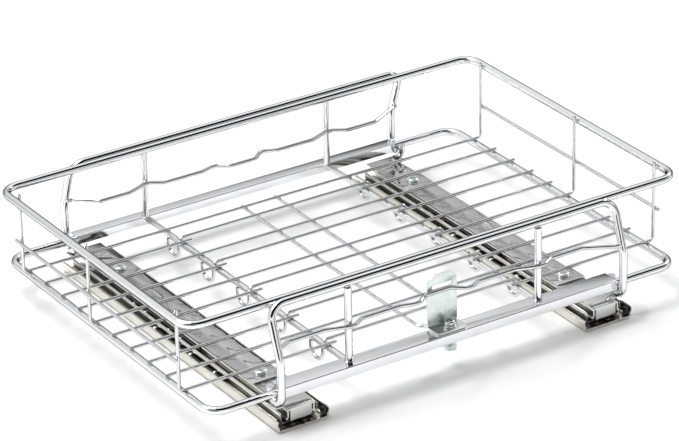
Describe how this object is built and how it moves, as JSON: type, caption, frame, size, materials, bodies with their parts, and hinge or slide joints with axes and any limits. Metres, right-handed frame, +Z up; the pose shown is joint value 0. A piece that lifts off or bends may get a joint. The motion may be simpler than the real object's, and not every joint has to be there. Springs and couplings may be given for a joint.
{
  "type": "pull-out wire basket",
  "caption": "Low rectangular wire basket on a pair of ball-bearing slides: plated rod rims, end hoops, wire floor, sheet-metal catch bracket at the front.",
  "frame": {"origin": "centre of the footprint, on the shelf that the slides stand on", "axes": "+Z up, +Y towards the rear, the basket is pulled out along -Y, +X to the right seen from the front"},
  "size_m": [0.355, 0.2602, 0.0785],
  "materials": {
    "chrome_rod": "mirror-bright plated 5 mm rod",
    "chrome_wire": "bright plated thin wire",
    "chrome_strip": "bright plated sheet strip",
    "carrier_chrome": "bright plated strip",
    "cover_chrome": "bright plated pads",
    "zinc_bracket": "clear zinc plated, faintly green",
    "screw_steel": "zinc plated hardware",
    "outer_rail_steel": "nickel-grey plated rolled rail",
    "middle_rail_steel": "plated rolled rail, lightly greased",
    "inner_rail_steel": "plated rolled rail",
    "retainer_zinc": "thin pressed ball retainer",
    "ball_steel": "polished bearing balls"
  },
  "bodies": {
    "base": {"left_outer_rail": "outer_rail_steel", "right_outer_rail": "outer_rail_steel"},
    "basket": {"top_rim": "chrome_rod", "bottom_rim": "chrome_rod", "rear_upright_wire": "chrome_wire", "left_upright_wire": "chrome_wire", "right_upright_wire": "chrome_wire", "front_left_upright_wire": "chrome_wire", "front_right_upright_wire": "chrome_wire", "left_side_wire": "chrome_wire", "right_side_wire": "chrome_wire", "floor_wire_3": "chrome_wire", "floor_wire_7": "chrome_wire", "floor_wire_9": "chrome_wire", "left_stub_wires": "chrome_wire", "right_stub_wires": "chrome_wire", "raised_wire_2": "chrome_wire", "raised_wire_4": "chrome_wire", "raised_wire_6": "chrome_wire", "raised_wire_8": "chrome_wire", "raised_wire_10": "chrome_wire", "left_support_rod": "chrome_rod", "right_support_rod": "chrome_rod", "centre_wire": "chrome_wire", "front_hoop": "chrome_rod", "rear_hoop": "chrome_rod", "front_left_strut": "chrome_rod", "rear_left_strut": "chrome_rod", "front_right_strut": "chrome_rod", "rear_right_strut": "chrome_rod", "front_guard_wire": "chrome_wire", "rear_guard_wire": "chrome_wire", "front_angle": "chrome_strip", "rear_angle": "chrome_strip", "catch_bracket": "zinc_bracket", "catch_washer": "screw_steel", "catch_screw": "screw_steel", "catch_nut": "screw_steel", "carrier_screws": "screw_steel", "carrier_pads": "cover_chrome", "left_inner_rail": "inner_rail_steel", "left_carrier": "carrier_chrome", "right_inner_rail": "inner_rail_steel", "right_carrier": "carrier_chrome"},
    "left_middle": {"left_middle_rail": "middle_rail_steel"},
    "left_lower_cage": {"left_lower_retainer": "retainer_zinc", "left_lower_balls": "ball_steel"},
    "left_upper_cage": {"left_upper_retainer": "retainer_zinc", "left_upper_balls": "ball_steel"},
    "right_middle": {"right_middle_rail": "middle_rail_steel"},
    "right_lower_cage": {"right_lower_retainer": "retainer_zinc", "right_lower_balls": "ball_steel"},
    "right_upper_cage": {"right_upper_retainer": "retainer_zinc", "right_upper_balls": "ball_steel"}
  },
  "joints": [
    {"name": "basket_slide", "type": "slide", "parent": "base", "child": "basket", "axis": [0, -1, 0], "range_m": [0, 0.23]},
    {"name": "left_middle_slide", "type": "slide", "parent": "base", "child": "left_middle", "axis": [0, -1, 0], "range_m": [0, 0.115]},
    {"name": "left_lower_cage_slide", "type": "slide", "parent": "base", "child": "left_lower_cage", "axis": [0, -1, 0], "range_m": [0, 0.0575]},
    {"name": "left_upper_cage_slide", "type": "slide", "parent": "base", "child": "left_upper_cage", "axis": [0, -1, 0], "range_m": [0, 0.1725]},
    {"name": "right_middle_slide", "type": "slide", "parent": "base", "child": "right_middle", "axis": [0, -1, 0], "range_m": [0, 0.115]},
    {"name": "right_lower_cage_slide", "type": "slide", "parent": "base", "child": "right_lower_cage", "axis": [0, -1, 0], "range_m": [0, 0.0575]},
    {"name": "right_upper_cage_slide", "type": "slide", "parent": "base", "child": "right_upper_cage", "axis": [0, -1, 0], "range_m": [0, 0.1725]}
  ],
  "couplings": [
    {"joint": "left_middle_slide", "follows": "basket_slide", "ratio": 0.5},
    {"joint": "left_lower_cage_slide", "follows": "basket_slide", "ratio": 0.25},
    {"joint": "left_upper_cage_slide", "follows": "basket_slide", "ratio": 0.75},
    {"joint": "right_middle_slide", "follows": "basket_slide", "ratio": 0.5},
    {"joint": "right_lower_cage_slide", "follows": "basket_slide", "ratio": 0.25},
    {"joint": "right_upper_cage_slide", "follows": "basket_slide", "ratio": 0.75}
  ]
}
